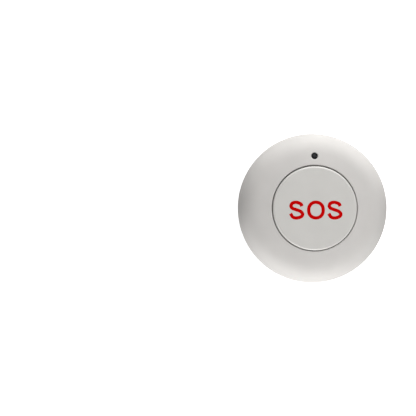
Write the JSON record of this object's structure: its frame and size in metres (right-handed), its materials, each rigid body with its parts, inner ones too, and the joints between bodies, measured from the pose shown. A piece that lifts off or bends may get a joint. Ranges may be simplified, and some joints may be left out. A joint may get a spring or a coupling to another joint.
{
  "type": "wireless panic button",
  "caption": "Round wireless panic button with a large sprung push cap, an indicator window and a coin-slot battery door, hung on keyholes or laid flat.",
  "frame": {"origin": "centre of the flat back, in the plane that lies on the wall or table", "axes": "+Z out through the push cap, +Y towards the indicator window, which is the upper end on a wall"},
  "size_m": [0.06, 0.06, 0.0176],
  "materials": {
    "housing_plastic": "satin moulded",
    "cap_plastic": "satin moulded",
    "smoked_lens": "smoked, polished",
    "legend_ink": "pad-printed ink",
    "board_laminate": "solder mask",
    "black_moulding": "moulded",
    "spring_steel": "drawn wire",
    "nickel_plate": "nickel plated",
    "solder_tin": "tinned",
    "cell_steel": "brushed",
    "screw_steel": "zinc plated",
    "led_resin": "clear and white resin",
    "capacitor_ceramic": "ceramic"
  },
  "bodies": {
    "housing": {"front_shell": "housing_plastic", "rear_shell": "housing_plastic", "light_pipe": "smoked_lens", "return_spring": "spring_steel", "circuit_board": "board_laminate", "switch_base": "black_moulding", "switch_cover": "nickel_plate", "switch_dome": "spring_steel", "switch_terminals": "solder_tin", "status_led": "led_resin", "loop_antenna": "nickel_plate", "encoder_chip": "black_moulding", "chip_leads": "solder_tin", "crystal_can": "nickel_plate", "rf_transistor": "black_moulding", "chip_resistors": "black_moulding", "chip_capacitors": "capacitor_ceramic", "battery_cell": "cell_steel", "negative_contact": "nickel_plate", "positive_contact": "nickel_plate", "housing_screws": "screw_steel"},
    "cap": {"button_cap": "cap_plastic"},
    "stem": {"switch_stem": "black_moulding"},
    "door": {"battery_door": "housing_plastic"}
  },
  "joints": [
    {"name": "cap_press", "type": "slide", "parent": "housing", "child": "cap", "axis": [0, 0, -1], "range_m": [0, 0.001], "stiffness_N_per_m": 900, "springref_m": -0.001, "deforming": ["return_spring"]},
    {"name": "stem_press", "type": "slide", "parent": "housing", "child": "stem", "axis": [0, 0, -1], "range_m": [0, 0.0003], "deforming": ["switch_dome"]},
    {"name": "door_twist", "type": "hinge", "parent": "housing", "child": "door", "pos_m": [0, 0, 0], "axis": [0, 0, -1], "range_deg": [0, 30]}
  ],
  "couplings": [
    {"joint": "stem_press", "follows": "cap_press", "ratio": 0.3}
  ]
}
